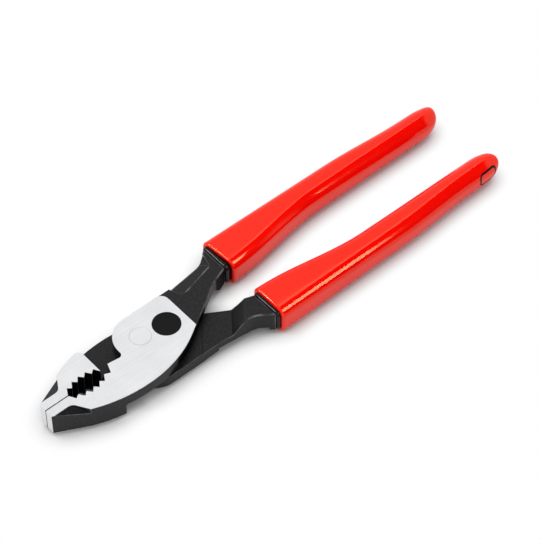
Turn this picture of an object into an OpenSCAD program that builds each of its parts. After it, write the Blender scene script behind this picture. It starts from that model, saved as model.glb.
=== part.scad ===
// Slip joint pliers: two forged levers lapped on a flush rivet, with two-layer dipped grips.
// The origin is on the rivet axis at the underside of the head, +X runs towards the handles, +Z is up.
// Each lever is the same forging. It is drawn with its outer face up and its jaw at negative y,
// and the lower lever is that forging turned over about the closing plane of the jaws.

/* [Head] */
// Thickness of the closed head
head_t = 10.2; // [9:0.1:12]
// Rivet axis to the nose tip
jaw_reach = 47; // [45:0.5:52]
// Closing plane to the widest point of the head's edge
head_half_w = 15; // [14:0.25:17]
// Rivet axis to the widest point, towards the nose
widest_ahead = 10.5; // [8:0.5:13]
// Radius of the head's edge ahead of the widest point
front_edge_r = 60; // [54:1:80]
// Radius of the head's edge behind the widest point
rear_edge_r = 49; // [45:1:56]
// Rivet axis to the rear end of the ground face
ground_len = 19; // [16:0.5:22]
// Radius of the ground face's outer rear corner
ground_corner_r = 3.4; // [1:0.2:5]
// Depth of the forged neck below the faces of the head
neck_drop = 0.45; // [0.2:0.05:1]

/* [Jaws] */
// Gap between the closed jaws
jaw_gap = 0.24; // [0.1:0.02:0.5]
// Closing plane to the corner of the nose tip
nose_half_w = 3.4; // [2.8:0.1:4]
// Length of the tapered nose
nose_len = 12.6; // [11:0.2:15]
// Length of the toothed pipe grip
pipe_len = 15.7; // [13:0.1:18]
// Radius of the outer rear corner of the lower lever's full-thickness jaw
lower_corner_r = 2.4; // [0.4:0.1:4]
// Radius of the same corner on the upper lever
upper_corner_r = 0.7; // [0.4:0.1:4]
// Depth of the pipe grip in each jaw
pipe_depth = 2.6; // [2:0.1:3.5]
// Number of tooth gaps in each jaw
tooth_count = 5; // [3:1:8]
// Depth of a tooth gap
tooth_h = 1.8; // [1:0.1:2.4]

/* [Nose flutes] */
// Closing plane to the straight edge of a flute
flute_in = 3.8; // [3.4:0.1:5]
// Length of the straight edge
flute_len = 7; // [5:0.2:9]
// Radius of the run-out behind the straight edge
flute_r = 3.3; // [2:0.1:5]
// Turn of the run-out, in degrees
flute_turn = 58; // [40:1:75]
// Slope of the flute's floor, in degrees
flute_slope = 23; // [10:1:35]

/* [Wire cutter] */
// Boss to the rear end of the full-thickness jaw
cutter_len = 10.6; // [9:0.1:12]
// Length of the notch behind the full-thickness jaw
notch_len = 2.4; // [1.6:0.1:3]
// Closing plane to the root of the notch
notch_depth = 1.9; // [1.4:0.1:3]
// Closing plane to the tip of the cutting edge, past the plane
cutter_reach = 2; // [1:0.1:3]
// Lean of the cutting edge along the jaw
cutter_lean = 1.5; // [0.5:0.1:2.5]
// Closing plane to the floor of the pocket behind the cutter
pocket_in = 1.1; // [0.4:0.1:1.8]
// Radius of the pocket's inner corner
pocket_r = 1.6; // [0.6:0.1:2]

/* [Lap joint] */
// Closing plane to the rivet axis
pivot_offset = 4; // [3:0.1:5]
// Radius of the boss round the rivet
boss_r = 10.4; // [9.4:0.1:11]
// Distance between the two rivet positions
slip_pitch = 6.5; // [5.5:0.1:8]
// Gap between the lapped faces
lap_gap = 0.1; // [0.04:0.02:0.3]
// Plan angle of the ramp behind the lap, in degrees
ramp_angle = 39; // [34:1:44]
// Length of the machined lap, measured square to the ramp
lap_len = 20.2; // [18:0.2:24]
// Foot of the ramp, measured the same way
ramp_foot = 31.6; // [30:0.2:34]
// Run of the ramp up to the full neck
ramp_run = 4.6; // [3:0.2:6]
// Relief of the forged face behind the machined lap
relief_d = 0.3; // [0.1:0.05:0.6]

/* [Rivet] */
// Diameter of the shank
shank_d = 7.2; // [6:0.1:8]
// Width across the two flats of the shank
flats_w = 5.2; // [4:0.1:5.6]
// Diameter of the flush end
flush_d = 8.3; // [8.1:0.1:10]
// Depth of the flush end's cone
flush_depth = 1.1; // [0.6:0.1:2]
// Diameter of the head under the slot
rivet_head_d = 11.2; // [9.5:0.1:13]
// Thickness of the head
rivet_head_t = 1.6; // [1:0.1:2.2]
// Depth of the head below the lever's face
rivet_sink = 0.15; // [0.05:0.05:0.5]
// Running clearance round the rivet
running_gap = 0.05; // [0.02:0.01:0.1]

/* [Neck] */
// Rivet axis to the shoulder at the end of the neck
neck_len = 44.6; // [43:0.2:46.5]
// Angle of the neck's inner edge behind the head, in degrees
neck_angle = 32; // [30:0.5:34]
// Angle of the inner edge at the shoulder, in degrees
shoulder_angle = 20; // [14:1:24]
// Shoulder to the bend between those two angles
bend_back = 8; // [6:0.2:10]
// Radius of the bend
inner_bend_r = 18; // [8:1:25]
// Closing plane to the outer end of the shoulder
shoulder_out = 20.9; // [20:0.1:22]
// Rivet axis to the end of the plate's straight outer edge
plate_len = 21.6; // [18:0.2:25]
// Angle of the neck's outer edge, in degrees
outer_angle = 6.5; // [4:0.5:9]
// Length of the flare in front of the shoulder
flare_len = 6.2; // [4.6:0.2:8]
// Radius of the flare
flare_r = 8; // [3:0.5:9]

/* [Neck facet] */
// Rivet axis to the front corner of the facet
facet_start = 24.2; // [22:0.2:28]
// Closing plane to the front corner of the facet
facet_in = 8.7; // [7.5:0.1:10]
// Length of the facet's inner edge
facet_len = 17.4; // [12:0.2:18]
// Plan angle of the inner edge, in degrees
facet_angle = 14.5; // [10:0.5:18]
// Slope of the facet, in degrees
facet_slope = 14; // [5:1:20]
// Lead of the facet's two ends
facet_lead = 2.4; // [1:0.2:4]
// Radius of the facet's inner corners
facet_r = 2.4; // [0.5:0.1:4]

/* [Grips] */
// Shoulder to the mouth of the grip
mouth_gap = 2.7; // [2.2:0.1:5]
// Length of the grip
grip_len = 114.8; // [100:0.2:140]
// Closing plane to the outer side at the mouth
mouth_out = 23.5; // [23:0.1:26]
// Closing plane to the inner side at the mouth
mouth_in = 6.2; // [5:0.1:6.6]
// Closing plane to the inner side along the tail
tail_in = 11.5; // [10:0.1:13]
// Return of the inner side towards the closing plane at the tail
tail_return = 0.2; // [0:0.05:1]
// Inward sweep of the outer side at the tail
tail_sweep = 1.7; // [0.5:0.1:3.5]
// Height at the mouth
mouth_h = 13; // [11.4:0.1:14]
// Height at the tail
tail_h = 11.4; // [9.6:0.1:12.4]
// Corner radius of the grip's section at the mouth
grip_corner_r = 3.6; // [2.8:0.1:4.2]
// Corner radius of the grip's section at the tail
tail_corner_r = 5; // [3.4:0.1:5.2]
// Length of the rounded end
end_round = 11; // [6:0.5:14]
// Shortness of the upper grip's end beside the lower one's
upper_short = 1.2; // [0:0.1:3]
// Radius of the lip at the mouth
lip_r = 0.9; // [0.4:0.1:1.4]
// Wall of the outer grip layer
grip_wall = 1.7; // [1.3:0.1:2.1]
// Wall of the inner liner
liner_t = 0.8; // [0.5:0.1:1.1]
// Bond line between two layers
bond_gap = 0.05; // [0.02:0.01:0.1]
// Grip's end to the tang's end
tang_back = 17; // [15:0.5:25]
// Length of the tang's root inside the neck
tang_root = 2; // [1:0.2:4]

/* [Mark recess] */
// Rivet axis to the middle of the recess
mark_x = 10.9; // [10.2:0.1:12]
// Closing plane to the middle of the recess
mark_y = 2.1; // [1:0.1:3]
// Diameter of the recess
mark_d = 11; // [8:0.2:11.4]
// Depth of the recess
mark_depth = 0.25; // [0.1:0.05:0.5]

/* [Hidden] */
$fn = 96;

// Overrun of every cut past the face that it opens
over = 1;
// Turn between two points of an arc, in degrees
arc_step = 3;
// Points in each rounded corner of a grip's section
corner_points = 5;
// Rings along a grip, along the layers inside it and round its end
grip_rings = 18;
core_rings = 12;
end_rings = 6;
// Part of the pipe grip ahead of its deepest point
bow_share = 0.54;
// Part of the grip over which its inner side swings out
waist_share = 0.42;
// Parts of the grip before the outer side's sweep and along it
sweep_shares = [0.53, 0.33];
// Part of the end's quarter turn before the flat at its tip
end_share = 0.92;
// Fullness of the rounded end, where two gives an ellipse
end_fullness = 2.85;
// Part of the end's lost height by which its middle rises
end_lift_share = 0.5;
// Part of the end's lost width by which its middle moves outwards
end_bias_share = 0.25;
// Rounding of the lip's ring, as shares of its radius
lip_shares = [[0, 1], [0.3, 0.29], [1, 0]];

grip_start = neck_len + mouth_gap;
span = jaw_reach + grip_start + grip_len;
tip_x = -jaw_reach;
lap_x = -boss_r - cutter_len;
flat_x = lap_x - pipe_len;
lap_z = (head_t + lap_gap) / 2;
plate_y = pivot_offset + boss_r;
pipe_half = bow_share * pipe_len;
pipe_r = (pow(pipe_half, 2) + pow(pipe_depth, 2)) / (2 * pipe_depth);
tooth_pitch = pipe_len / tooth_count;
rivet_head_top = rivet_sink + rivet_head_t;
core_end = grip_start + grip_len - tang_back;
liner_in = grip_wall + bond_gap + liner_t;
tang_in = liner_in + bond_gap;

// Points of an arc from angle a to angle b
function arc(centre, r, a, b) =
    let (n = ceil(abs(b - a) / arc_step))
    [for (i = [0:n]) centre + r * [cos(a + (b - a) * i / n), sin(a + (b - a) * i / n)]];

function unit(v) = v / norm(v);

// Arc of radius r that rounds the corner b on the way from a to c
function corner(a, b, c, r) =
    let (u = unit(a - b), v = unit(c - b), half = acos(u * v) / 2)
    let (centre = b + unit(u + v) * r / sin(half), turn = sign(cross(u, v)))
    let (from = b + u * r / tan(half) - centre, start = atan2(from.y, from.x))
    arc(centre, r, start, start - turn * (180 - 2 * half));

// Point where the line through p along u meets the line through q along v
function meet(p, u, q, v) = p + u * cross(q - p, v) / cross(u, v);

function heading(a) = [cos(a), sin(a)];

// Closing plane to a tooth's peak at x, along the pipe grip
function bite(x) =
    let (rise = sqrt(pow(pipe_r, 2) - pow(x - flat_x - pipe_half, 2)))
    jaw_gap / 2 + pipe_depth - pipe_r + rise;

// Plan of one lever as far as the shoulder, counter-clockwise from the nose tip
function head_edge() =
    let (nose_turn = asin((jaw_reach - nose_len - widest_ahead) / front_edge_r))
    concat(
        [[tip_x, -jaw_gap / 2], [tip_x, -nose_half_w]],
        arc([-widest_ahead, front_edge_r - head_half_w], front_edge_r, -90 - nose_turn, -90),
        arc([-widest_ahead, rear_edge_r - head_half_w], rear_edge_r, -90, neck_angle - 90)
    );

function neck_edge() =
    let (tangent = [-widest_ahead, rear_edge_r - head_half_w] + rear_edge_r * heading(neck_angle - 90))
    let (bend = meet(tangent, heading(neck_angle), [neck_len - bend_back, 0], [0, 1]))
    let (inner_end = meet(bend, heading(shoulder_angle), [neck_len, 0], [0, 1]))
    let (outer_end = [neck_len, shoulder_out], turn = [plate_len, plate_y])
    let (flare = meet(turn, heading(outer_angle), [neck_len - flare_len, 0], [0, 1]))
    concat(
        corner(tangent, bend, inner_end, inner_bend_r),
        [inner_end, outer_end],
        corner(outer_end, flare, turn, flare_r),
        [turn]
    );

function cutter_edge() =
    let (root = [lap_x + notch_len, -notch_depth])
    let (cutting_tip = [root.x + cutter_lean, cutter_reach])
    let (boss_side = [-boss_r, pivot_offset], pocket = [-boss_r, pocket_in])
    concat(
        arc([0, pivot_offset], boss_r, 90, 180),
        corner(boss_side, pocket, cutting_tip, pocket_r),
        [cutting_tip, root]
    );

function teeth_edge() =
    concat(
        [[lap_x, -bite(lap_x)]],
        [for (i = [tooth_count - 1:-1:0], at = [1 / 2, 0])
            let (x = flat_x + tooth_pitch * (i + at))
            [x, -bite(x) - (at > 0 ? tooth_h : 0)]]
    );

module lever_plan() polygon(concat(head_edge(), neck_edge(), cutter_edge(), teeth_edge()));

// Room under the outer plate and neck: the machined lap, the relieved face and the ramp
module lap_room(corner_r) {
    ramp_top = ramp_foot + ramp_run;
    intersection() {
        rotate([0, 0, ramp_angle])
            rotate([90, 0, 0])
                linear_extrude(height = 2 * span, center = true)
                    polygon([[-span, -over], [span, -over], [span, neck_drop], [ramp_top, neck_drop],
                             [ramp_foot, lap_z], [ramp_foot - relief_d, lap_z + relief_d],
                             [lap_len, lap_z + relief_d], [lap_len, lap_z], [-span, lap_z]]);
        translate([0, 0, -over])
            linear_extrude(height = head_t + over)
                behind_jaw(corner_r);
    }
}

// Plan behind the full-thickness jaw, whose outer corner is rounded into the head's edge
module behind_jaw(corner_r) {
    middle_x = lap_x - corner_r;
    rise = sqrt(pow(front_edge_r - corner_r, 2) - pow(middle_x + widest_ahead, 2));
    middle = [middle_x, front_edge_r - head_half_w - rise];
    translate([lap_x, -span])
        square([span, 2 * span]);
    difference() {
        translate([middle.x, middle.y - span])
            square([corner_r + over, span]);
        translate(middle)
            circle(r = corner_r);
    }
}

// Drop of the forged neck behind the ground face
module neck_step() {
    corner_x = ground_len - ground_corner_r;
    translate([0, 0, head_t - neck_drop])
        linear_extrude(height = neck_drop + over)
            difference() {
                translate([corner_x, -span])
                    square([span, 2 * span]);
                translate([corner_x, plate_y - ground_corner_r])
                    circle(r = ground_corner_r);
                translate([corner_x - over, -span])
                    square([ground_corner_r + over, span + plate_y - ground_corner_r]);
            }
}

// Flute beside the nose, on the top of a jaw at negative y
module flute() {
    run_out = [tip_x + flute_len, -flute_in - flute_r];
    bend = arc(run_out, flute_r, 90, 90 - flute_turn);
    far = head_half_w + over;
    last = bend[len(bend) - 1];
    edge = meet(last, heading(-flute_turn), [0, -far], [1, 0]);
    intersection() {
        linear_extrude(height = head_t + over)
            polygon(concat([[tip_x - over, -far], edge], [for (i = [len(bend) - 1:-1:0]) bend[i]],
                           [[tip_x - over, -flute_in]]));
        translate([tip_x - over, -flute_in, head_t])
            rotate([flute_slope, 0, 0])
                translate([0, -span, 0])
                    cube([jaw_reach, span, head_t]);
    }
}

// Sloping facet along the outer side of the neck
module neck_facet() {
    front = [facet_start, facet_in];
    rear = front + facet_len * heading(facet_angle);
    front_out = [front.x - facet_lead, plate_y + over];
    rear_out = [rear.x + facet_lead, shoulder_out + over];
    intersection() {
        linear_extrude(height = head_t + over)
            polygon(concat([rear_out, [front_out.x, rear_out.y], front_out],
                           corner(front_out, front, rear, facet_r),
                           corner(front, rear, rear_out, facet_r)));
        translate([front.x, front.y, head_t - neck_drop])
            rotate([0, 0, facet_angle])
                rotate([-facet_slope, 0, 0])
                    translate([-span, 0, 0])
                        cube([2 * span, span, head_t]);
    }
}

module turned_over() translate([0, 0, head_t]) rotate([180, 0, 0]) children();

module forging(corner_r) {
    difference() {
        linear_extrude(height = head_t)
            lever_plan();
        lap_room(corner_r);
        neck_step();
        neck_facet();
    }
    tang();
}

// Grip section: places along the handle are shares of the grip's length
function along(x) = max(0, x - grip_start) / grip_len;
function ease(v) = let (t = min(max(v, 0), 1)) t * t * (3 - 2 * t);
function swept(x) = ease((along(x) - sweep_shares[0]) / sweep_shares[1]);
function side_in(x) =
    mouth_in + (tail_in - mouth_in) * ease(along(x) / waist_share) - tail_return * swept(x);
function side_out(x) = mouth_out - tail_sweep * swept(x);
function half_h(x) = (mouth_h + (tail_h - mouth_h) * along(x)) / 2;
function section_r(x) = grip_corner_r + (tail_corner_r - grip_corner_r) * along(x);

// Ring across a handle at x, set in from the grip's surface and drawn in by the factor at its end,
// where its middle moves by parts of the width and height that it loses
function ring(x, inset, drawn = 1, lift = 0) =
    let (wide = (side_out(x) - side_in(x)) / 2 - inset, half_w = wide * drawn)
    let (full = half_h(x) - inset, tall = full * drawn)
    let (r = min(max(section_r(x) - inset, liner_t), half_w, tall))
    let (middle_y = (side_out(x) + side_in(x)) / 2 + end_bias_share * (wide - half_w))
    let (middle = [middle_y, head_t / 2 + lift * (full - tall)])
    [for (quarter = [0:3], i = [0:corner_points])
        let (turn = 90 * (quarter + i / corner_points))
        let (side = [quarter == 0 || quarter == 3 ? 1 : -1, quarter < 2 ? 1 : -1])
        let (p = middle + [side.x * (half_w - r), side.y * (tall - r)] + r * heading(turn))
        [x, p.x, p.y]];

// Rings of one surface from a start to a flat end, along the layers inside the grip
function core_stations(start) =
    concat([start], start < grip_start ? [grip_start] : [],
           [for (i = [1:core_rings]) grip_start + (core_end - grip_start) * i / core_rings]);

function core_surface(start, inset) =
    concat([for (x = core_stations(start)) ring(x, inset)],
           [ring(core_end + tang_in - inset, inset)]);

function grip_surface(short, lift) =
    let (round_start = grip_start + grip_len - short - end_round, body_start = grip_start + lip_r)
    concat(
        [for (s = lip_shares) ring(grip_start + lip_r * s[0], lip_r * s[1])],
        [for (i = [1:grip_rings]) ring(body_start + (round_start - body_start) * i / grip_rings, 0)],
        [for (i = [1:end_rings])
            let (turn = 90 * end_share * i / end_rings, power = 2 / end_fullness)
            ring(round_start + end_round * pow(sin(turn), power), 0, pow(cos(turn), power), lift)]
    );

function reverse(list) = [for (i = [len(list) - 1:-1:0]) list[i]];

// Solid skinned over rings of equal length, closed at its first and last ring
module skin(rings) {
    n = len(rings[0]);
    last = (len(rings) - 1) * n;
    sides = [for (j = [0:len(rings) - 2], i = [0:n - 1])
        let (a = j * n + i, b = j * n + (i + 1) % n)
        each [[a, a + n, b], [b, a + n, b + n]]];
    caps = [for (i = [1:n - 2]) each [[0, i, i + 1], [last, last + i + 1, last + i]]];
    polyhedron(points = [for (r = rings) each r], faces = concat(sides, caps), convexity = 4);
}

// Steel tang inside the layers, rooted in the neck
module tang() {
    root = ring(neck_len - tang_root, tang_in + tang_root);
    skin(concat([root], core_surface(neck_len, tang_in)));
}

// Sleeve between an outer and an inner surface, open at the mouth
module sleeve(inner, outer) skin(concat(reverse(inner), outer));

module liner() {
    start = neck_len + bond_gap;
    sleeve(core_surface(start, liner_in), core_surface(start, grip_wall + bond_gap));
}

module grip(short, lift) sleeve(core_surface(grip_start, grip_wall), grip_surface(short, lift));

// Lever places are measured from the closing plane
module on_closing_plane() translate([0, -pivot_offset, 0]) children();

// Plan of the two joined rivet holes, grown by a clearance
module slip_slot(gap) {
    for (y = [0, -slip_pitch])
        translate([0, y])
            circle(d = shank_d + 2 * gap);
    translate([-flats_w / 2 - gap, -slip_pitch])
        square([flats_w + 2 * gap, slip_pitch]);
}

module upper_lever()
    color("#34363a")
    difference() {
        on_closing_plane()
            forging(upper_corner_r);
        on_closing_plane()
            flute();
        rivet_shank(running_gap);
        translate([mark_x, mark_y - pivot_offset, head_t - mark_depth])
            cylinder(d = mark_d, h = mark_depth + over);
    }

module lower_lever()
    color("#3a3c40")
    difference() {
        on_closing_plane()
            turned_over()
                forging(lower_corner_r);
        on_closing_plane()
            mirror([0, 1, 0])
                flute();
        translate([0, 0, -over])
            linear_extrude(height = head_t)
                slip_slot(running_gap);
        for (y = [0, -slip_pitch])
            translate([0, y, -over])
                cylinder(d = rivet_head_d + 2 * lap_gap, h = rivet_head_top + lap_gap + over);
        translate([-rivet_head_d / 2 - lap_gap, -slip_pitch, -over])
            cube([rivet_head_d + 2 * lap_gap, slip_pitch, rivet_head_top + lap_gap + over]);
    }

// Round end of the rivet in the upper lever, with its flush cone
module rivet_shank(gap) {
    top = head_t + (gap > 0 ? over : 0);
    translate([0, 0, head_t / 2])
        cylinder(d = shank_d + 2 * gap, h = top - head_t / 2);
    translate([0, 0, head_t - flush_depth])
        cylinder(d1 = shank_d + 2 * gap, d2 = flush_d + 2 * gap, h = flush_depth);
    if (gap > 0)
        translate([0, 0, head_t])
            cylinder(d = flush_d + 2 * gap, h = over);
}

module pivot_rivet()
    color("#c9cbce") {
        rivet_shank(0);
        intersection() {
            cylinder(d = shank_d, h = head_t / 2);
            translate([-flats_w / 2, -shank_d, rivet_sink])
                cube([flats_w, 2 * shank_d, head_t / 2]);
        }
        translate([0, 0, rivet_sink])
            cylinder(d = rivet_head_d, h = rivet_head_t);
    }

module upper_grip_liner() color("#141416") on_closing_plane() liner();

module lower_grip_liner() color("#141416") on_closing_plane() turned_over() liner();

module upper_grip() color("#ee2a1a") on_closing_plane() grip(upper_short, end_lift_share);

module lower_grip() color("#ee2a1a") on_closing_plane() turned_over() grip(0, -end_lift_share);

upper_lever();
lower_lever();
pivot_rivet();
upper_grip_liner();
lower_grip_liner();
upper_grip();
lower_grip();
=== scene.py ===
"""Looks of the slip joint pliers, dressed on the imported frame. Sizes are in mm and scaled once."""
import math

import bmesh
import bpy
import numpy as np
from mathutils import Matrix, Vector
from mathutils.bvhtree import BVHTree


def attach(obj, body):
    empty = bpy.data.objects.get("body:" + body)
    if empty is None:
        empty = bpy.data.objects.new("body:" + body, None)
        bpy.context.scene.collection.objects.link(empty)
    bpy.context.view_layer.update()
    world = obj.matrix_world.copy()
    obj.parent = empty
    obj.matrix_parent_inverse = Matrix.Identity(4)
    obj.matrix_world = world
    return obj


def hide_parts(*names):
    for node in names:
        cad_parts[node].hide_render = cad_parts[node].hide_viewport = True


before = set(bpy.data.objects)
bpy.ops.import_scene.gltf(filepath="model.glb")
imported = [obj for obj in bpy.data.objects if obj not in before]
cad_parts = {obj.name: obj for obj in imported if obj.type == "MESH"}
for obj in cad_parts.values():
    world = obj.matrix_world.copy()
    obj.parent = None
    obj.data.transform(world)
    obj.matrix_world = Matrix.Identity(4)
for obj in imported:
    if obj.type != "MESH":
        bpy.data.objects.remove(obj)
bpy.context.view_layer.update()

MM = 0.001

# Sizes that the pieces share with the solids
HEAD_T = 10.2
NECK_DROP = 0.45
CLOSING_Y = -4.0
TIP_X = -47.0
GROUND_END = 19.0
TANG_X = 44.9
MARK = (10.9, CLOSING_Y + 2.1)
MARK_R = 5.5
GRIP_START = 47.3
GRIP_LEN = 114.8
MOUTH_OUT, MOUTH_IN, TAIL_IN = 23.5, 6.2, 11.5
TAIL_SWEEP, TAIL_RETURN = 1.7, 0.2
MOUTH_H, TAIL_H = 13.0, 11.4
GRIP_CORNER_R, TAIL_CORNER_R = 3.6, 5.0
END_ROUND = 11.0
END_POWER = 2 / 2.85
END_LIFT, END_BIAS = 0.5, 0.25
WAIST_SHARE = 0.42
SWEEP_SHARES = (0.53, 0.33)
UPPER_SHORT = 1.2
LIP_R = 0.9
INNER_LIP_R = 0.45
GRIP_WALL = 1.7
BOND_GAP = 0.05
LINER_T = 0.8
LINER_START = 44.65
LINER_SEAT_R, LINER_ROLL, LINER_PROUD = 0.15, 1.0, 0.25
CORE_END = 145.95


# Materials

def material(name, **values):
    """A material with its Principled shader's plain values set on the sockets."""
    mat = bpy.data.materials.new(name)
    mat.use_nodes = True
    shader = mat.node_tree.nodes["Principled BSDF"]
    for key, value in values.items():
        shader.inputs[key.replace("_", " ")].default_value = value
    return mat, mat.node_tree, shader


def node(tree, kind, inputs=None, **settings):
    made = tree.nodes.new(kind)
    for key, value in settings.items():
        setattr(made, key, value)
    for key, value in (inputs or {}).items():
        if isinstance(value, bpy.types.NodeSocket):
            tree.links.new(value, made.inputs[key])
        else:
            made.inputs[key].default_value = value
    return made


def noise(tree, scale, detail=3.0, stretch=(1, 1, 1), turn=0.0):
    """Noise on the piece's own coordinates, stretched along its axes."""
    coords = node(tree, "ShaderNodeTexCoord")
    mapped = node(tree, "ShaderNodeMapping", {
        "Vector": coords.outputs["Object"], "Rotation": (0, 0, turn), "Scale": stretch})
    return node(tree, "ShaderNodeTexNoise", {
        "Vector": mapped.outputs["Vector"], "Scale": scale, "Detail": detail}).outputs["Fac"]


def ramp(tree, fac, stops):
    """A colour ramp over a factor: each stop is a position with a grey value or a colour."""
    made = node(tree, "ShaderNodeValToRGB", {"Fac": fac})
    elements = made.color_ramp.elements
    while len(elements) < len(stops):
        elements.new(0.5)
    for element, (position, value) in zip(elements, stops):
        element.position = position
        colour = value if isinstance(value, tuple) else (value,) * 3
        element.color = (*colour, 1)
    return made.outputs["Color"]


def bump(tree, height, distance, strength=1.0, normal=None):
    inputs = {"Height": height, "Distance": distance, "Strength": strength}
    if normal is not None:
        inputs["Normal"] = normal
    return node(tree, "ShaderNodeBump", inputs).outputs["Normal"]


def black_oxide():
    mat, tree, shader = material("black_oxide", Specular_IOR_Level=0.25)
    grain = noise(tree, 1500, 4)
    specks = noise(tree, 2600, 2)
    tree.links.new(ramp(tree, specks, [(0.42, (0.004, 0.004, 0.0047)),
                                       (0.56, (0.008, 0.008, 0.0094)),
                                       (0.70, (0.028, 0.028, 0.031))]),
                   shader.inputs["Base Color"])
    tree.links.new(ramp(tree, grain, [(0.3, 0.34), (0.7, 0.50)]), shader.inputs["Roughness"])
    tree.links.new(bump(tree, grain, 0.00006, 0.6), shader.inputs["Normal"])
    return mat


# Edge finish: real wear on the broken edges, made lighter grey than the oxide so that it also paints
# the thin edge highlights.
def worn_edge_and_highlight():
    mat, tree, shader = material("worn_edge_and_highlight")
    rub_and_sheen = noise(tree, 260, 5)
    tree.links.new(ramp(tree, rub_and_sheen, [(0.36, (0.012, 0.012, 0.013)), (0.64, (0.12, 0.12, 0.123))]),
                   shader.inputs["Base Color"])
    tree.links.new(ramp(tree, rub_and_sheen, [(0.35, 0.46), (0.7, 0.30)]), shader.inputs["Roughness"])
    tree.links.new(bump(tree, noise(tree, 1500, 4), 0.00003, 0.4), shader.inputs["Normal"])
    return mat


def ground_steel():
    mat, tree, shader = material("ground_steel", Metallic=1.0)
    streaks = noise(tree, 1, 4, stretch=(70, 2600, 600), turn=math.radians(8))
    clouds = noise(tree, 90, 2)
    tone = node(tree, "ShaderNodeMix", {"Factor": 0.4, "A": streaks, "B": clouds}).outputs["Result"]
    tree.links.new(ramp(tree, tone, [(0.3, (0.71, 0.72, 0.735)), (0.7, (0.86, 0.86, 0.875))]),
                   shader.inputs["Base Color"])
    tree.links.new(ramp(tree, streaks, [(0.25, 0.30), (0.75, 0.42)]), shader.inputs["Roughness"])
    tree.links.new(bump(tree, streaks, 0.00001, 0.35), shader.inputs["Normal"])
    return mat


# Near-black finish for walls in the pipe grip, behind the lap and at the relief step: painted shade
# where those walls lie in shadow.
def painted_shade_black():
    mat, tree, shader = material("painted_shade_black", Specular_IOR_Level=0.04)
    shade_mottle = noise(tree, 700, 3)
    tree.links.new(ramp(tree, shade_mottle, [(0.3, 0.0008), (0.7, 0.002)]), shader.inputs["Base Color"])
    tree.links.new(ramp(tree, shade_mottle, [(0.3, 0.4), (0.7, 0.6)]), shader.inputs["Roughness"])
    tree.links.new(bump(tree, shade_mottle, 0.00003, 0.4), shader.inputs["Normal"])
    return mat


def mark_paint():
    mat, tree, shader = material("mark_paint", Specular_IOR_Level=0.1)
    grain = noise(tree, 1800, 3)
    tree.links.new(ramp(tree, grain, [(0.3, 0.004), (0.7, 0.008)]), shader.inputs["Base Color"])
    tree.links.new(ramp(tree, grain, [(0.3, 0.42), (0.7, 0.55)]), shader.inputs["Roughness"])
    tree.links.new(bump(tree, grain, 0.00002, 0.4), shader.inputs["Normal"])
    return mat


def red_gloss():
    mat, tree, shader = material("red_gloss", Specular_IOR_Level=0.41,
                                 Specular_Tint=(1.0, 1.0, 0.55, 1))
    drift = noise(tree, 45, 2)
    peel = noise(tree, 420, 2)
    tree.links.new(ramp(tree, drift, [(0.3, (0.92, 0.001, 0.0)), (0.7, (0.98, 0.002, 0.0))]),
                   shader.inputs["Base Color"])
    tree.links.new(ramp(tree, drift, [(0.3, 0.078), (0.7, 0.088)]), shader.inputs["Roughness"])
    wavy = bump(tree, drift, 0.0006, 0.12)
    tree.links.new(bump(tree, peel, 0.00002, 0.12, wavy), shader.inputs["Normal"])
    return mat


def liner_black():
    mat, tree, shader = material("liner_black", Specular_IOR_Level=0.2)
    dip = noise(tree, 330, 2)
    tree.links.new(ramp(tree, dip, [(0.3, 0.003), (0.7, 0.006)]), shader.inputs["Base Color"])
    tree.links.new(ramp(tree, dip, [(0.3, 0.05), (0.7, 0.10)]), shader.inputs["Roughness"])
    tree.links.new(bump(tree, dip, 0.00003, 0.3), shader.inputs["Normal"])
    return mat


def frame_black():
    mat, tree, shader = material("frame_black", Specular_IOR_Level=0.12)
    ink = noise(tree, 900, 3)
    tree.links.new(ramp(tree, ink, [(0.3, 0.004), (0.7, 0.008)]), shader.inputs["Base Color"])
    tree.links.new(ramp(tree, ink, [(0.3, 0.2), (0.7, 0.3)]), shader.inputs["Roughness"])
    return mat


# Finishes of the levers and the rivet, in the order of their places on those meshes: oxide, ground
# steel, worn edge lightened to paint edge highlights, black paint, and near-black painted shade
FINISHES = (black_oxide(), ground_steel(), worn_edge_and_highlight(), mark_paint(), painted_shade_black())
ON_OXIDE, ON_STEEL, ON_WORN_AND_HIGHLIGHT, ON_PAINT, ON_PAINTED_SHADE = range(len(FINISHES))
RED, LINER, INK = red_gloss(), liner_black(), frame_black()


# Pieces

def place(name, mesh, mats, body, replaced):
    piece = bpy.data.objects.new(name, mesh)
    bpy.context.scene.collection.objects.link(piece)
    for mat in mats:
        mesh.materials.append(mat)
    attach(piece, body)
    if replaced:
        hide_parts(replaced)
    return piece


def shade(mesh, angle):
    mesh.shade_smooth()
    mesh.set_sharp_from_angle(angle=math.radians(angle))


# Levers and rivet: the solid's mesh with its edges broken

WELD = 0.06
FLAT_Z = 0.12
FLAT_TURN = 0.4
STRAY = 0.4

# Widths of the broken edges, and the turns in degrees from which an edge counts
FORGED_W = 0.5
FACET_W = 0.3
CRISP_W = 0.14
FINE_W = 0.05
LOW_W = 0.15
EDGE_STEPS = 3
CORNER_TURN = 24
LINE_TURN = 8
RUN_ON_TURN = 150
ROOM_SHARE = 0.45
TAPER = 0.35
TAPER_PASSES = 6
RIVET_RIM_R = 4.6
SKIN = 0.1
UPRIGHT_WAY = 0.9

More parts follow.
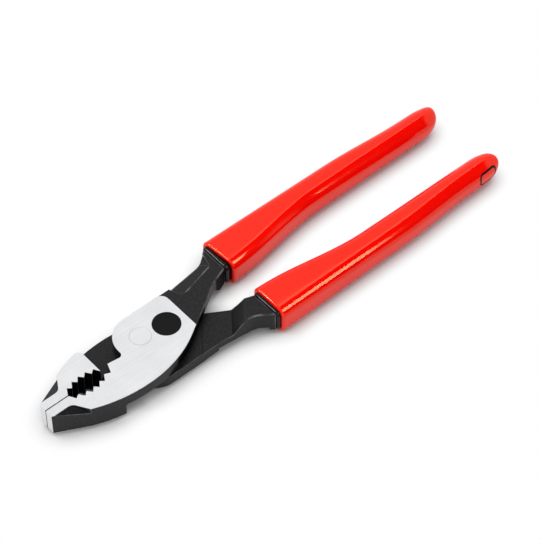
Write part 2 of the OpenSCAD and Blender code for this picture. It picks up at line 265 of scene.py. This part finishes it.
# Places and facings by which a face gets its finish
UPRIGHT_NZ, WALL_NZ, FLAT_NZ = 0.1, 0.3, 0.95
WALL_H = 1.7
OVERLAP_END = 27.6
LAP_START = 4
PIPE_GRIP_X = (-37.2, -20.8)
PIPE_GRIP_HALF_W = 5.2
REAR_WALL_NX, REAR_WALL_NY = 0.15, -0.5
CUT_WALL_NX = 0.45
MARK_CLEAR = 0.12
RECESS_DEPTHS = (0.3, 0.02)
FACE_DEPTH = 0.05
TIP_DEPTH, TIP_NX = 0.2, -0.9
NOSE_END, NOSE_LINE_HALF = -36, 0.3
RIM_DEPTH, RIM_NZ, RIM_NX = 0.3, 0.6, -0.5
RIDGE_WAY = (-0.1, 0.08, 0.72)
FACET_END_X = 36
FACET_END_WAY = (0.1, 0.2, 0.6)
RELIEF_Z = (4.7, 5.1)
RELIEF_NX, RELIEF_NY = 0.2, -0.1
FORGED_SHARP = 35
EVEN_WEIGHT = 90


def welded(cad_node):
    """A copy of a solid's mesh with its seams closed and its flat faces made whole."""
    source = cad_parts[cad_node].data
    mesh = bpy.data.meshes.new("welded")
    mesh.from_pydata([v.co for v in source.vertices], [],
                     [list(p.vertices) for p in source.polygons])
    made = bmesh.new()
    made.from_mesh(mesh)
    for v in made.verts:
        for top in (NECK_DROP, HEAD_T - NECK_DROP):
            behind = v.co.x > GROUND_END * MM + FLAT_Z * MM
            if behind and abs(v.co.z - top * MM) < FLAT_Z * MM:
                v.co.z = top * MM
    bmesh.ops.remove_doubles(made, verts=made.verts, dist=WELD * MM)
    bmesh.ops.dissolve_limit(made, angle_limit=math.radians(FLAT_TURN),
                             verts=made.verts, edges=made.edges)
    bpy.data.meshes.remove(mesh)
    return made


def low_wall(face):
    """Whether a face is one of the low upright walls at the ends of a forged facet."""
    heights = [v.co.z / MM for v in face.verts]
    behind = min(v.co.x for v in face.verts) / MM > GROUND_END
    return behind and abs(face.normal.z) < UPRIGHT_NZ and max(heights) - min(heights) < WALL_H


def break_width(edge):
    """How far an edge is broken: soft on the forged neck, crisp on the machined head."""
    if len(edge.link_faces) != 2 or not edge.is_convex:
        return 0.0
    a, b = (v.co / MM for v in edge.verts)
    middle = (a + b) / 2
    turn = math.degrees(edge.calc_face_angle())
    upright = abs((b - a).normalized().z) > UPRIGHT_WAY
    if middle.x > TANG_X or turn < (CORNER_TURN if upright else LINE_TURN):
        return 0.0
    if any(low_wall(f) for f in edge.link_faces):
        return 0.0 if upright else LOW_W
    if middle.xy.length < RIVET_RIM_R and middle.z > HEAD_T - SKIN:
        return FINE_W
    if middle.x > GROUND_END and SKIN < middle.z < HEAD_T - SKIN:
        return FACET_W if turn < CORNER_TURN else FORGED_W
    return CRISP_W


def break_widths(made):
    """Widths of all edges, held back where a neighbour is short or meets at a sharp angle."""
    widths = {e: break_width(e) for e in made.edges}
    runs = {e: [] for e in made.edges}
    for e, width in list(widths.items()):
        if width == 0.0:
            continue
        for v in e.verts:
            way = e.other_vert(v).co - v.co
            for other in v.link_edges:
                if other is e:
                    continue
                turn = way.angle(other.other_vert(v).co - v.co)
                if turn > math.radians(RUN_ON_TURN):
                    runs[e].append(other)
                    continue
                room = ROOM_SHARE * other.calc_length() / MM
                widths[e] = min(widths[e], room * min(math.sin(turn), math.tan(turn / 2)))
    for _ in range(TAPER_PASSES):
        for e in made.edges:
            for other in runs[e]:
                if widths[other] > 0.0:
                    widths[e] = min(widths[e], widths[other] + TAPER * e.calc_length() / MM)
    return [widths[e] for e in made.edges]


def broken(made):
    """The mesh with its edges broken; the new faces take the place of the worn finish, which also
    paints edge highlights.
    """
    mesh = bpy.data.meshes.new("broken")
    weights = [w / FORGED_W for w in break_widths(made)]
    skin = BVHTree.FromBMesh(made)
    made.to_mesh(mesh)
    made.free()
    layer = mesh.attributes.new("bevel_weight_edge", "FLOAT", "EDGE")
    layer.data.foreach_set("value", weights)
    for _ in FINISHES:
        mesh.materials.append(None)
    piece = bpy.data.objects.new("broken", mesh)
    bpy.context.scene.collection.objects.link(piece)
    step = piece.modifiers.new("break", "BEVEL")
    step.limit_method = "WEIGHT"
    step.width = FORGED_W * MM
    step.segments = EDGE_STEPS
    step.use_clamp_overlap = False
    step.material = ON_WORN_AND_HIGHLIGHT
    graph = bpy.context.evaluated_depsgraph_get()
    result = bpy.data.meshes.new_from_object(piece.evaluated_get(graph))
    bpy.data.objects.remove(piece)
    bpy.data.meshes.remove(mesh)
    rims = [p.material_index for p in result.polygons]
    result.materials.clear()
    result.polygons.foreach_set("material_index", rims)
    drawn_back(result, skin)
    return result


def drawn_back(mesh, skin):
    """Brings corner points that lie off the solid's skin back between their neighbours."""
    made = bmesh.new()
    made.from_mesh(mesh)
    stray = {v for v in made.verts if skin.find_nearest(v.co)[3] > STRAY * MM}
    for v in stray:
        near = [e.other_vert(v).co for e in v.link_edges if e.other_vert(v) not in stray]
        v.co = sum(near, Vector()) / len(near)
    made.to_mesh(mesh)
    made.free()


def wall_height(mesh, face):
    heights = [mesh.vertices[i].co.z / MM for i in face.vertices]
    return max(heights) - min(heights)


def joint_wall(p, n):
    """Whether an upright wall lies in the pipe grip or faces the other lever behind the lap, where
    painted shade goes.
    """
    in_grip = PIPE_GRIP_X[0] < p.x < PIPE_GRIP_X[1] and abs(p.y - CLOSING_Y) < PIPE_GRIP_HALF_W
    over_lap = LAP_START < p.x < OVERLAP_END and p.z > HEAD_T / 2
    return in_grip or (over_lap and n.x > REAR_WALL_NX and n.y < REAR_WALL_NY)


def split_walls(mesh):
    """Cuts the plate's rear wall where the other lever stops lying under it, so the painted shade
    ends there.
    """
    made = bmesh.new()
    made.from_mesh(mesh)
    walls = [f for f in made.faces if f.normal.x > CUT_WALL_NX and f.normal.y < REAR_WALL_NY]
    parts = {e for f in walls for e in f.edges} | {v for f in walls for v in f.verts}
    bmesh.ops.bisect_plane(made, geom=walls + list(parts),
                           plane_co=(OVERLAP_END * MM, 0, 0), plane_no=(1, 0, 0))
    made.to_mesh(mesh)
    made.free()


def finish_of(mesh, face):
    """The finish of one face of a lever by where it lies and which way it faces."""
    p, n = face.center / MM, face.normal
    rim = face.material_index == ON_WORN_AND_HIGHLIGHT
    depth = min(p.z, HEAD_T - p.z)
    in_mark = (p.xy - Vector(MARK)).length < MARK_R + MARK_CLEAR
    if in_mark and HEAD_T - RECESS_DEPTHS[0] < p.z < HEAD_T - RECESS_DEPTHS[1]:
        return ON_PAINT
    if abs(n.z) > FLAT_NZ and depth < FACE_DEPTH:
        return ON_STEEL
    if n.x < TIP_NX and p.x < TIP_X + TIP_DEPTH:
        return ON_STEEL
    if rim and p.x < NOSE_END and abs(p.y - CLOSING_Y) < NOSE_LINE_HALF:
        return ON_OXIDE
    # Low facet walls get the worn finish, lighter as a painted highlight line.
    if p.x > GROUND_END and abs(n.z) < UPRIGHT_NZ and wall_height(mesh, face) < WALL_H:
        return ON_WORN_AND_HIGHLIGHT
    # Walls in the pipe grip and behind the lap get the near-black painted shade.
    if abs(n.z) < WALL_NZ and not rim and joint_wall(p, n):
        return ON_PAINTED_SHADE
    if rim and depth < RIM_DEPTH and p.x < GROUND_END + RIM_DEPTH:
        at_tip = p.x < TIP_X + RIM_DEPTH and n.x < RIM_NX
        return ON_STEEL if abs(n.z) > RIM_NZ or at_tip else ON_OXIDE
    # The relief step gets the near-black painted shade as a dark line.
    if RELIEF_Z[0] < p.z < RELIEF_Z[1] and n.x > RELIEF_NX and n.y < RELIEF_NY:
        return ON_PAINTED_SHADE
    # Other rims get the worn finish, lighter as painted highlight, except on the ridge and the
    # facet's rear slope.
    ridge, end = RIDGE_WAY, FACET_END_WAY
    on_ridge = n.x < ridge[0] and n.y > ridge[1] and n.z > ridge[2]
    on_facet_end = p.x > FACET_END_X and n.x > end[0] and n.y > end[1] and n.z > end[2]
    return ON_WORN_AND_HIGHLIGHT if rim and not on_ridge and not on_facet_end else ON_OXIDE


def forged(name, cad_node, body):
    mesh = broken(welded(cad_node))
    split_walls(mesh)
    finishes = [finish_of(mesh, f) for f in mesh.polygons]
    mesh.polygons.foreach_set("material_index", finishes)
    shade(mesh, FORGED_SHARP)
    mesh.name = name
    piece = place(name, mesh, FINISHES, body, cad_node)
    even = piece.modifiers.new("even", "WEIGHTED_NORMAL")
    even.keep_sharp = True
    even.weight = EVEN_WEIGHT
    return piece


forged("lever_with_upper_handle", "upper_lever", "upper_lever")
forged("lever_with_lower_handle", "lower_lever", "lower_lever")
forged("flush_rivet", "pivot_rivet", "pivot")


# Grips and their liners: lofts along the handle

# Points round a ring, and rings along each stretch of a loft
CORNER_STEPS = 12
SIDE_STEPS = 10
CORE_RINGS, INNER_LIP_RINGS, LIP_RINGS = 24, 6, 9
BODY_RINGS, END_RINGS = 110, 30
LINER_RINGS, SEAT_RINGS, ROLL_RINGS, BAND_RINGS = 30, 5, 12, 5

CROWN = 3.0
CORE_CLEAR = 1.2
END_TURN = 88
PROUD_FADE = 1.2
LOFT_SHARP = 50
UPPER_LEADS, LOWER_LEADS = (0.0, 1.35), (1.3, 1.3)
LEAD_FADE = 14.0


def ease(v):
    t = min(max(v, 0.0), 1.0)
    return t * t * (3 - 2 * t)


def along(x):
    return max(0.0, x - GRIP_START) / GRIP_LEN


def section(x, inset=0.0, drawn=1.0, lift=0.0):
    """Half width, half height, corner radius and middle of the grip's section at x."""
    swept = ease((along(x) - SWEEP_SHARES[0]) / SWEEP_SHARES[1])
    side_in = MOUTH_IN + (TAIL_IN - MOUTH_IN) * ease(along(x) / WAIST_SHARE) - TAIL_RETURN * swept
    side_out = MOUTH_OUT - TAIL_SWEEP * swept
    full = (MOUTH_H + (TAIL_H - MOUTH_H) * along(x)) / 2 - inset
    wide = (side_out - side_in) / 2 - inset
    half_w, tall = wide * drawn, full * drawn
    corner = GRIP_CORNER_R + (TAIL_CORNER_R - GRIP_CORNER_R) * along(x)
    r = min(max(corner - inset, LINER_T), half_w, tall)
    middle_y = (side_out + side_in) / 2 + END_BIAS * (wide - half_w)
    middle_z = HEAD_T / 2 + lift * (full - tall)
    return half_w, tall, r, (middle_y, middle_z)


def ring(x, inset=0.0, drawn=1.0, crown=0.0, lift=0.0):
    """Points round the grip's section at x, counter-clockwise seen from the tail."""
    half_w, tall, r, middle = section(x, inset, drawn, lift)
    points = []
    for i, (sy, sz) in enumerate([(1, 1), (-1, 1), (-1, -1), (1, -1)]):
        cy, cz = sy * (half_w - r), sz * (tall - r)
        for k in range(CORNER_STEPS + 1):
            turn = math.radians(90 * i + crown + (90 - 2 * crown) * k / CORNER_STEPS)
            points.append((cy + r * math.cos(turn), cz + r * math.sin(turn)))
        points += side_arc(math.radians(90 * (i + 1)), points[-1], math.radians(crown))
    return [(x, middle[0] + y, middle[1] + z) for y, z in points]


def side_arc(outward, start, crown):
    """Points of the shallow arc over one side, from the corner's end to the next corner."""
    way = (math.cos(outward), math.sin(outward))
    on = (-way[1], way[0])
    reach = start[0] * way[0] + start[1] * way[1]
    half = -(start[0] * on[0] + start[1] * on[1])
    points = []
    for k in range(1, SIDE_STEPS):
        u = 2 * k / SIDE_STEPS - 1
        out = reach + half * math.tan(crown / 2) * (1 - u * u)
        points.append((way[0] * out + on[0] * half * u, way[1] * out + on[1] * half * u))
    return points


def arc(count, end=90):
    """Sine and cosine at even turns from 0 degrees to the end."""
    turns = [math.radians(turn) for turn in np.linspace(0, end, count)]
    return [(math.sin(turn), math.cos(turn)) for turn in turns]


def grip_rings(short, lift):
    """Rings from the blind end of the core, out through the lip and back to the tail."""
    rings = []
    for x in np.linspace(CORE_END, GRIP_START + CORE_CLEAR, CORE_RINGS):
        rings.append(ring(x, GRIP_WALL))
    for s, c in arc(INNER_LIP_RINGS):
        inset = GRIP_WALL - INNER_LIP_R * (1 - c)
        rings.append(ring(GRIP_START + INNER_LIP_R * (1 - s), inset))
    for s, c in arc(LIP_RINGS):
        rings.append(ring(GRIP_START + LIP_R * (1 - c), LIP_R * (1 - s), 1.0, CROWN * s))
    round_start = GRIP_START + GRIP_LEN - short - END_ROUND
    for x in np.linspace(GRIP_START + LIP_R, round_start, BODY_RINGS)[1:]:
        rings.append(ring(x, 0.0, 1.0, CROWN))
    for s, c in arc(END_RINGS, END_TURN)[1:]:
        x = round_start + END_ROUND * s ** END_POWER
        rings.append(ring(x, 0.0, c ** END_POWER, CROWN, lift))
    return rings


def led(rings, leads):
    """Rings drawn forward near the mouth, by one lead at the inner side and one at the outer."""
    moved = []
    for points in rings:
        drawn = []
        for x, y, z in points:
            share = min(max((y - MOUTH_IN) / (MOUTH_OUT - MOUTH_IN), 0.0), 1.0)
            lead = leads[0] + (leads[1] - leads[0]) * share
            drawn.append((x - lead * (1 - ease((x - GRIP_START) / LEAD_FADE)), y, z))
        moved.append(drawn)
    return moved


def liner_rings():
    """Rings round the whole skin of the sleeve, from its inner end back to its outer one."""
    rings = []
    inner, outer = GRIP_WALL + BOND_GAP + LINER_T, GRIP_WALL + BOND_GAP
    for x in np.linspace(CORE_END, LINER_START + LINER_SEAT_R, LINER_RINGS):
        rings.append(ring(x, inner))
    for s, c in arc(SEAT_RINGS)[1:]:
        rings.append(ring(LINER_START + LINER_SEAT_R * (1 - s), inner - LINER_SEAT_R * (1 - c)))
    crest = outer - LINER_PROUD
    low = inner - LINER_SEAT_R
    for s, c in arc(ROLL_RINGS)[1:]:
        rings.append(ring(LINER_START + LINER_ROLL * (1 - c), low + (crest - low) * s))
    for x in np.linspace(LINER_START + LINER_ROLL, GRIP_START, BAND_RINGS)[1:]:
        sunk = ease((x - LINER_START - LINER_ROLL) / PROUD_FADE)
        rings.append(ring(x, crest + LINER_PROUD * sunk))
    for x in np.linspace(GRIP_START, CORE_END, LINER_RINGS)[1:]:
        rings.append(ring(x, outer))
    return rings


def to_part(points, lower):
    """Handle points in metres in the part's frame; the lower handle is the upper turned over."""
    if lower:
        return [(x * MM, (CLOSING_Y - y) * MM, (HEAD_T - z) * MM) for x, y, z in points]
    return [(x * MM, (CLOSING_Y + y) * MM, z * MM) for x, y, z in points]


def loft(name, rings, lower, closed):
    """A mesh through rings of equal count, joined end to start or capped at both ends."""
    count = len(rings[0])
    verts = [v for r in rings for v in to_part(r, lower)]
    faces = []
    rows = len(rings) if closed else len(rings) - 1
    for i in range(rows):
        a, b = i * count, ((i + 1) % len(rings)) * count
        for k in range(count):
            n = (k + 1) % count
            faces.append((a + k, b + k, b + n, a + n))
    if not closed:
        faces.append(tuple(range(count)))
        faces.append(tuple(range((len(rings) - 1) * count, len(rings) * count))[::-1])
    mesh = bpy.data.meshes.new(name)
    mesh.from_pydata(verts, [], faces)
    fixed = bmesh.new()
    fixed.from_mesh(mesh)
    bmesh.ops.recalc_face_normals(fixed, faces=fixed.faces)
    fixed.to_mesh(mesh)
    fixed.free()
    shade(mesh, LOFT_SHARP)
    return mesh


for body, lower, short, leads in (("upper_lever", False, UPPER_SHORT, UPPER_LEADS),
                                  ("lower_lever", True, 0.0, LOWER_LEADS)):
    side = "lower" if lower else "upper"
    lift = -END_LIFT if lower else END_LIFT
    rings = led(grip_rings(short, lift), leads)
    place(f"grip_{side}", loft(f"grip_{side}", rings, lower, False), [RED],
          body, f"{side}_grip")
    place(f"liner_{side}", loft(f"liner_{side}", liner_rings(), lower, True), [LINER],
          body, f"{side}_grip_liner")


# Plain rounded frame printed on the outer side of the lower grip's end

PATCH_X = (149.7, 158.8)
PATCH_HALF_H = 3.0
PATCH_LIFT = 1.0
PATCH_LINE = 0.75
PATCH_R = 1.9
PATCH_PROUD = 0.05
PATCH_CORNER_STEPS = 8
PATCH_SIDE_STEPS = 10


def on_outer_side(x, z, proud):
    """A point on the outer side of the lower grip, z from the head's middle."""
    round_start = GRIP_START + GRIP_LEN - END_ROUND
    s = min(max((x - round_start) / END_ROUND, 0.0), 1.0) ** (1 / END_POWER)
    drawn = math.cos(math.asin(s)) ** END_POWER
    half_w, tall, r, middle = section(x, 0.0, drawn, -END_LIFT)
    turn = math.radians(CROWN)
    half = tall - r + r * math.sin(turn)
    off = abs(HEAD_T / 2 - z - middle[1])
    if off < half:
        y = half_w - r + r * math.cos(turn) + half * math.tan(turn / 2) * (1 - (off / half) ** 2)
    else:
        y = half_w - r + math.sqrt(max(r * r - (off - (tall - r)) ** 2, 0.0))
    return x, middle[0] + y + proud, HEAD_T / 2 - z


def rounded(x0, x1, half_h, r):
    """A rounded rectangle as points at even turns, with its long sides split."""
    points = []
    for cx, cz, first in ((x1 - r, half_h - r, 0), (x0 + r, half_h - r, 90),
                          (x0 + r, -half_h + r, 180), (x1 - r, -half_h + r, 270)):
        for k in range(PATCH_CORNER_STEPS + 1):
            turn = math.radians(first + 90 * k / PATCH_CORNER_STEPS)
            points.append((cx + r * math.cos(turn), cz + r * math.sin(turn)))
    dense = []
    for (ax, az), (bx, bz) in zip(points, points[1:] + points[:1]):
        steps = PATCH_SIDE_STEPS if math.hypot(bx - ax, bz - az) > r / 2 else 1
        for k in range(steps):
            dense.append((ax + (bx - ax) * k / steps, az + (bz - az) * k / steps))
    return dense


def patch_loops():
    """Loops round the raised line of the frame: outer edge, top and inner edge."""
    outer = rounded(*PATCH_X, PATCH_HALF_H, PATCH_R)
    inner = rounded(PATCH_X[0] + PATCH_LINE, PATCH_X[1] - PATCH_LINE, PATCH_HALF_H - PATCH_LINE,
                    PATCH_R - PATCH_LINE)
    loops = [(outer, -PATCH_PROUD), (outer, PATCH_PROUD),
             (inner, PATCH_PROUD), (inner, -PATCH_PROUD)]
    return [[on_outer_side(x, z + PATCH_LIFT, proud) for x, z in loop] for loop, proud in loops]


place("end_frame", loft("end_frame", patch_loops(), True, True), [INK],
      "lower_lever", None)


# Stage: floor, lamps, world and camera

# The floor lies under the grips, so it rises to the tails; its half width is in metres
FLOOR_SLOPE = (MOUTH_H - TAIL_H) / 2 / GRIP_LEN
FLOOR_DROP = 0.15
FLOOR_HALF = 2.5
SHADOW_REACHES = (11.0, 8.0)
REACH_FADE = (20.0, 60.0)
MIRRORED_SHARE = 0.85
SHADE_SHARES = (0.45, 0.92)

# The world's levels, and the edges of the card and the strip as parts of a unit direction
WORLD_LEVEL = 1.0
CARD_LEVEL = 0.02
SOFT_SHARE = 0.5
STRIP_LEVEL = 1.6
CARD_LEFT, CARD_RIGHT = (0.08, 0.20), (0.66, 0.58)
CARD_BACK = (0.33, 0.27)
STRIP_FRONT, STRIP_BACK = (0.30, 0.34), (0.42, 0.36)

# Lamps: way from the object's middle, distance and size in metres, radiance, long side's way
AIM = (0.06, -0.004, 0.005)
KEY = ((-0.30, 0.30, 0.90), 1.2, (0.42, 0.30), 6.5, (0.753, -0.658, 0))
FRONT = ((0.274, -0.636, 0.718), 0.695, (0.36, 0.36), 10.0, (1, 0, 0))
GLINT = ((-0.315, 0.2775, 0.326), 0.532, (0.24, 0.07), 45.0, (-0.64, 0, 0.77))
GLOSSY = ("grip_upper", "grip_lower", "liner_upper", "liner_lower", "end_frame")

# The camera that was fitted to the photo
LENS, SENSOR = 157.2, 36.0
CLIP = (0.01, 10)
CAMERA_AT = (-312.7, -430.977, 696.456)
CAMERA_WAY = (0.41637, 0.47729, -0.77384)


def make_floor():
    """A white floor that darkens close to the object and keeps its shadow there."""
    mesh = bpy.data.meshes.new("floor")
    under_mouth = (HEAD_T - MOUTH_H) / 2 - FLOOR_DROP
    half = FLOOR_HALF
    mesh.from_pydata([(x, y, under_mouth * MM + (x - GRIP_START * MM) * FLOOR_SLOPE) for x, y in
                      ((-half, -half), (half, -half), (half, half), (-half, half))],
                     [], [(0, 1, 2, 3)])
    floor = bpy.data.objects.new("floor", mesh)
    bpy.context.scene.collection.objects.link(floor)
    mat, tree, shader = material("floor_white", Base_Color=(0.64, 0.64, 0.64, 1), Roughness=0.9,
                                 Specular_IOR_Level=0.0)

    def combine(operation, one, other):
        return node(tree, "ShaderNodeMath", {0: one, 1: other},
                    operation=operation).outputs["Value"]

    ray = node(tree, "ShaderNodeLightPath")
    mirrored = combine("MULTIPLY", ray.outputs["Is Glossy Ray"], MIRRORED_SHARE)
    seen = combine("MAXIMUM", ray.outputs["Is Camera Ray"], mirrored)
    seen = combine("MAXIMUM", seen, ray.outputs["Is Transmission Ray"])
    spot = node(tree, "ShaderNodeSeparateXYZ", {
        0: node(tree, "ShaderNodeNewGeometry").outputs["Position"]})
    reach = node(tree, "ShaderNodeMapRange", {
        "Value": spot.outputs["X"],
        "From Min": REACH_FADE[0] * MM, "From Max": REACH_FADE[1] * MM,
        "To Min": SHADOW_REACHES[0] * MM, "To Max": SHADOW_REACHES[1] * MM})
    open_sky = node(tree, "ShaderNodeAmbientOcclusion", {"Distance": reach.outputs["Result"]})
    clear = node(tree, "ShaderNodeMapRange", {
        "Value": open_sky.outputs["AO"],
        "From Min": SHADE_SHARES[0], "From Max": SHADE_SHARES[1]})
    share = combine("MULTIPLY", seen, clear.outputs["Result"])
    glow = node(tree, "ShaderNodeEmission", {"Color": (1, 1, 1, 1), "Strength": 1.0})
    mixed = node(tree, "ShaderNodeMixShader", {
        0: share, 1: shader.outputs["BSDF"], 2: glow.outputs["Emission"]})
    tree.links.new(mixed.outputs["Shader"], tree.nodes["Material Output"].inputs["Surface"])
    mesh.materials.append(mat)


def lamp(name, towards, distance, size, radiance, long_way):
    """A flat lamp facing the object's middle, in a direction from it, of a given radiance."""
    data = bpy.data.lights.new(name, "AREA")
    data.shape = "RECTANGLE"
    data.size, data.size_y = size
    data.energy = radiance * math.pi * size[0] * size[1]
    made = bpy.data.objects.new(name, data)
    bpy.context.scene.collection.objects.link(made)
    out = Vector(towards).normalized()
    made.location = Vector(AIM) + out * distance
    across = Vector(long_way).normalized()
    across = (across - across.dot(out) * out).normalized()
    up = out.cross(across)
    made.rotation_mode = "QUATERNION"
    made.rotation_quaternion = Matrix((across, up, out)).transposed().to_quaternion()
    made.visible_camera = False
    return made


def shine_on(made, names):
    """Keeps a gloss lamp to the named pieces, so that it doesn't blind the bare steel."""
    made.visible_diffuse = False
    reached = bpy.data.collections.new(made.name + "_reach")
    for name in names:
        reached.objects.link(bpy.data.objects[name])
    made.light_linking.receiver_collection = reached


def make_world():
    """White all round; on the right the object mirrors a dark card with a bright strip behind."""
    world = bpy.data.worlds.new("studio")
    bpy.context.scene.world = world
    world.use_nodes = True
    tree = world.node_tree
    back = tree.nodes["Background"]
    way = node(tree, "ShaderNodeSeparateXYZ", {
        0: node(tree, "ShaderNodeTexCoord").outputs["Generated"]})

    def step(axis, edge):
        return node(tree, "ShaderNodeMapRange", {
            "Value": way.outputs[axis], "From Min": edge[0], "From Max": edge[1]},
            interpolation_type="SMOOTHSTEP").outputs["Result"]

    def times(one, other):
        return node(tree, "ShaderNodeMath", {0: one, 1: other},
                    operation="MULTIPLY").outputs["Value"]

    right = times(step("X", CARD_LEFT), step("X", CARD_RIGHT))
    dark = times(right, step("Y", CARD_BACK))
    strip = times(right, times(step("Y", STRIP_FRONT), step("Y", STRIP_BACK)))
    ray = node(tree, "ShaderNodeLightPath")
    share = node(tree, "ShaderNodeMapRange", {
        "Value": ray.outputs["Is Glossy Ray"], "To Min": SOFT_SHARE, "To Max": 1.0})
    dark = times(dark, share.outputs["Result"])
    level = node(tree, "ShaderNodeMapRange", {
        "Value": dark, "To Min": WORLD_LEVEL, "To Max": CARD_LEVEL})
    strip = times(strip, ray.outputs["Is Glossy Ray"])
    lit = node(tree, "ShaderNodeMath", {
        0: strip, 1: STRIP_LEVEL, 2: level.outputs["Result"]}, operation="MULTIPLY_ADD")
    shown = node(tree, "ShaderNodeMath", {
        0: lit.outputs["Value"], 1: ray.outputs["Is Camera Ray"]}, operation="MAXIMUM")
    tree.links.new(shown.outputs["Value"], back.inputs["Strength"])
    back.inputs["Color"].default_value = (1, 1, 1, 1)


def make_camera():
    data = bpy.data.cameras.new("camera")
    data.lens, data.sensor_width = LENS, SENSOR
    data.clip_start, data.clip_end = CLIP
    camera = bpy.data.objects.new("camera", data)
    bpy.context.scene.collection.objects.link(camera)
    camera.location = Vector(CAMERA_AT) * MM
    camera.rotation_mode = "QUATERNION"
    camera.rotation_quaternion = Vector(CAMERA_WAY).to_track_quat("-Z", "Y")
    bpy.context.scene.camera = camera


make_floor()
make_world()
key = lamp("key", *KEY)
key.visible_glossy = False
shine_on(lamp("front", *FRONT), GLOSSY)
shine_on(lamp("glint", *GLINT), GLOSSY)
make_camera()
bpy.context.scene.view_settings.view_transform = "Standard"
